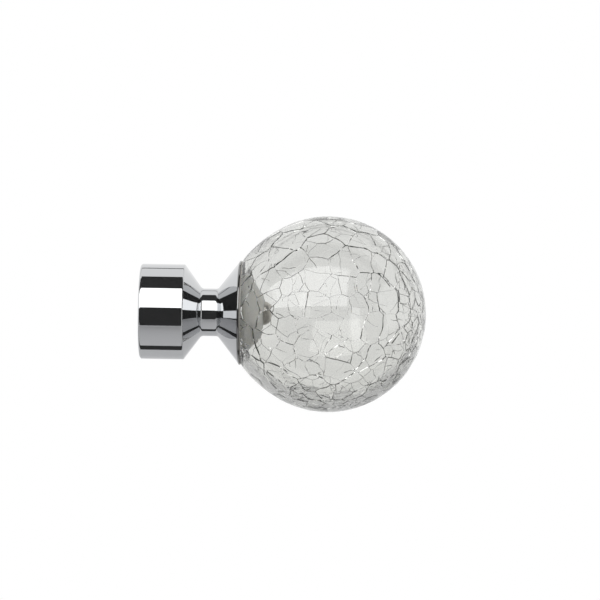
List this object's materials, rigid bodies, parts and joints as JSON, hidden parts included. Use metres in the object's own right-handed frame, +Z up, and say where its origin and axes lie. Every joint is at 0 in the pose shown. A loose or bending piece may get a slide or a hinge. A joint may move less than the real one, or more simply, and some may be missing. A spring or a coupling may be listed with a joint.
{
  "type": "curtain pole finial",
  "caption": "Curtain pole finial: a chrome end cap with a pole socket, waisted neck and flared cup that carries a clear crackled glass globe.",
  "frame": {"origin": "centre of the pole socket's floor, where the pole's end comes to rest", "axes": "+X along the pole's axis, out of the pole and towards the glass ball; +Z up; the grub screw points down and back towards the wall (+Y)"},
  "size_m": [0.1021, 0.07, 0.07],
  "materials": {
    "chrome_plate": "polished",
    "crackle_glass": "clear, crackled",
    "clear_seal": "soft clear",
    "plug_moulding": "moulded",
    "insert_metal": "turned",
    "zinc_steel": "zinc plated",
    "black_steel": "black oxide"
  },
  "bodies": {
    "root": {"end_cap": "chrome_plate", "glass_ball": "crackle_glass", "seat_ring": "clear_seal", "ball_plug": "plug_moulding", "threaded_insert": "insert_metal", "fixing_screw": "zinc_steel", "lock_washer": "zinc_steel", "grub_screw": "black_steel"}
  },
  "joints": []
}
